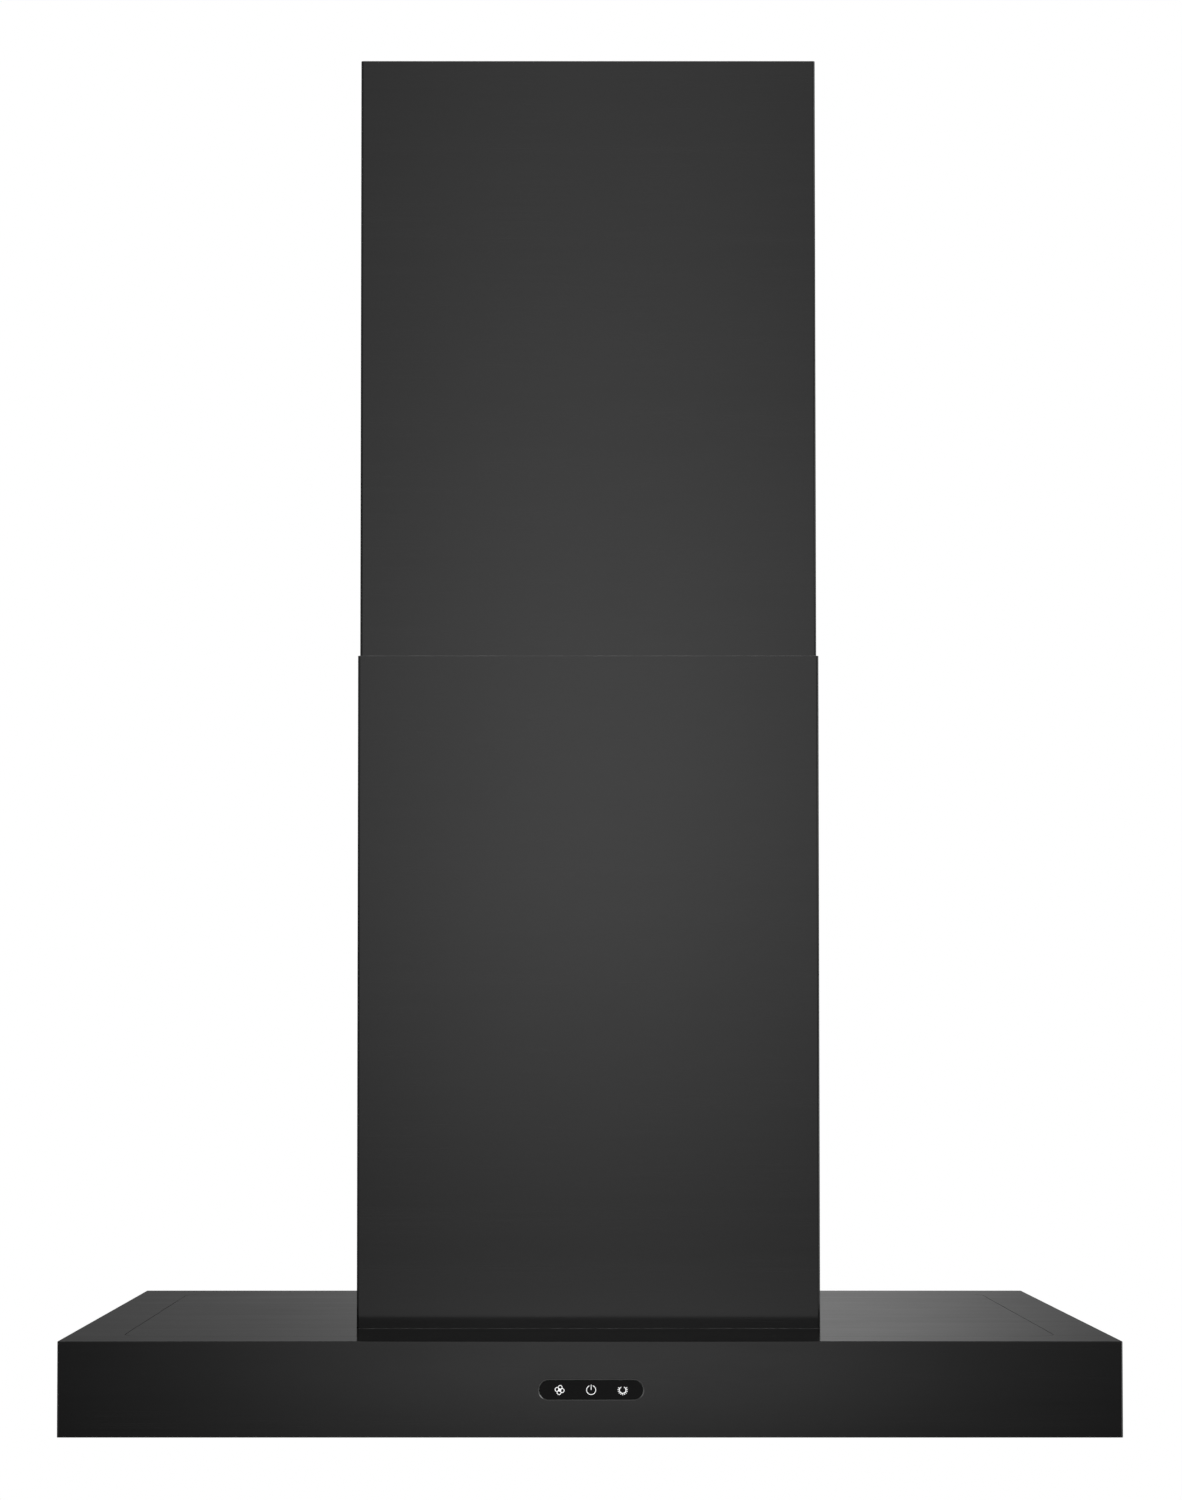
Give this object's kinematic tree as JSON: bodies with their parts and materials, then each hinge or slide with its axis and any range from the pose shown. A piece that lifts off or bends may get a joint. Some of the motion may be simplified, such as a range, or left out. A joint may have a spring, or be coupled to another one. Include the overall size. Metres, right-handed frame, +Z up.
{
  "type": "island range hood",
  "caption": "Ceiling-hung island range hood with a flat rectangular canopy, a two-step telescopic flue, a blower, baffle filters and a touch strip.",
  "frame": {"origin": "centre of the ceiling plate top face, which lies against the ceiling", "axes": "+Z up through the ceiling plate, +Y to the rear, -Y the side with the touch strip"},
  "size_m": [0.9, 0.6009, 1.213],
  "materials": {
    "black_steel": "brushed black stainless under a clear coat",
    "galvanised": "spangled zinc",
    "bare_steel": "brushed stainless",
    "liner_steel": "satin stainless",
    "zinc_fastener": "zinc plated",
    "blower_plastic": "fine moulded grain",
    "wheel_metal": "pressed",
    "motor_metal": "cast and painted",
    "lamination": "stacked sheets",
    "shaft_steel": "ground",
    "capacitor_shell": "smooth",
    "damper_plastic": "fine moulded grain",
    "black_glass": "polished",
    "icon_print": "printed",
    "circuit_board": "lacquered",
    "box_plastic": "fine moulded grain",
    "lamp_trim": "polished",
    "lamp_lens": "frosted",
    "lamp_body": "cast",
    "spring_steel": "drawn wire"
  },
  "bodies": {
    "ceiling_frame": {"ceiling_plate": "galvanised", "upper_legs": "galvanised", "upper_crossbars": "galvanised", "flue_hangers": "galvanised", "ceiling_frame_screws": "zinc_fastener", "upper_flue_front": "black_steel", "upper_flue_rear": "black_steel", "upper_flue_strips": "bare_steel"},
    "lower_flue": {"lower_flue_front": "black_steel", "lower_flue_rear": "black_steel", "lower_flue_strips": "bare_steel"},
    "blower_wheel": {"blower_wheel": "wheel_metal", "motor_shaft": "shaft_steel", "motor_rotor": "lamination"},
    "damper_front": {"damper_flap_front": "damper_plastic"},
    "damper_rear": {"damper_flap_rear": "damper_plastic"},
    "filter_1": {"filter_frame_1": "bare_steel", "filter_baffles_1": "bare_steel", "latch_spring_1": "spring_steel"},
    "latch_1": {"filter_latch_1": "zinc_fastener"},
    "filter_2": {"filter_frame_2": "bare_steel", "filter_baffles_2": "bare_steel", "latch_spring_2": "spring_steel"},
    "latch_2": {"filter_latch_2": "zinc_fastener"},
    "filter_3": {"filter_frame_3": "bare_steel", "filter_baffles_3": "bare_steel", "latch_spring_3": "spring_steel"},
    "latch_3": {"filter_latch_3": "zinc_fastener"},
    "canopy": {"canopy_shell": "black_steel", "canopy_seam_frame": "galvanised", "canopy_top_plate": "black_steel", "liner_pan": "liner_steel", "plenum_walls": "galvanised", "canopy_screws": "zinc_fastener", "base_frame": "galvanised", "lower_legs": "galvanised", "lower_crossbars": "galvanised", "frame_bolts": "zinc_fastener", "blower_box": "galvanised", "scroll_left": "blower_plastic", "scroll_right": "blower_plastic", "motor_stator": "lamination", "motor_case": "motor_metal", "motor_bearings": "shaft_steel", "motor_bracket": "galvanised", "capacitor": "capacitor_shell", "duct_collar": "galvanised", "damper_pins": "shaft_steel", "filter_rails": "bare_steel", "filter_dividers": "bare_steel", "lamp_bezels": "lamp_trim", "lamp_lenses": "lamp_lens", "lamp_bodies": "lamp_body", "control_glass": "black_glass", "touch_icons": "icon_print", "touch_board": "circuit_board", "touch_holder": "box_plastic", "control_box": "box_plastic", "control_box_cover": "box_plastic", "control_board": "circuit_board"}
  },
  "joints": [
    {"name": "height_adjust", "type": "slide", "parent": "ceiling_frame", "child": "canopy", "axis": [0, 0, 1], "range_m": [0, 0.25]},
    {"name": "lower_flue_lift", "type": "slide", "parent": "canopy", "child": "lower_flue", "axis": [0, 0, 1], "range_m": [0, 0.25]},
    {"name": "blower_spin", "type": "hinge", "parent": "canopy", "child": "blower_wheel", "pos_m": [0, -0.058, -1.025], "axis": [1, 0, 0], "continuous": true},
    {"name": "damper_rear_open", "type": "hinge", "parent": "canopy", "child": "damper_rear", "pos_m": [0, 0.005, -0.89], "axis": [1, 0, 0], "range_deg": [0, 78]},
    {"name": "damper_front_open", "type": "hinge", "parent": "canopy", "child": "damper_front", "pos_m": [0, -0.005, -0.89], "axis": [-1, 0, 0], "range_deg": [0, 78]},
    {"name": "filter_1_tilt", "type": "hinge", "parent": "canopy", "child": "filter_1", "pos_m": [-0.269, 0.195, -1.1995], "axis": [1, 0, 0], "range_deg": [0, 70]},
    {"name": "latch_1_pull", "type": "slide", "parent": "filter_1", "child": "latch_1", "axis": [0, 1, 0], "range_m": [0, 0.006], "stiffness_N_per_m": 400, "springref_m": -0.004, "deforming": ["latch_spring_1"]},
    {"name": "filter_2_tilt", "type": "hinge", "parent": "canopy", "child": "filter_2", "pos_m": [0, 0.195, -1.1995], "axis": [1, 0, 0], "range_deg": [0, 70]},
    {"name": "latch_2_pull", "type": "slide", "parent": "filter_2", "child": "latch_2", "axis": [0, 1, 0], "range_m": [0, 0.006], "stiffness_N_per_m": 400, "springref_m": -0.004, "deforming": ["latch_spring_2"]},
    {"name": "filter_3_tilt", "type": "hinge", "parent": "canopy", "child": "filter_3", "pos_m": [0.269, 0.195, -1.1995], "axis": [1, 0, 0], "range_deg": [0, 70]},
    {"name": "latch_3_pull", "type": "slide", "parent": "filter_3", "child": "latch_3", "axis": [0, 1, 0], "range_m": [0, 0.006], "stiffness_N_per_m": 400, "springref_m": -0.004, "deforming": ["latch_spring_3"]}
  ]
}
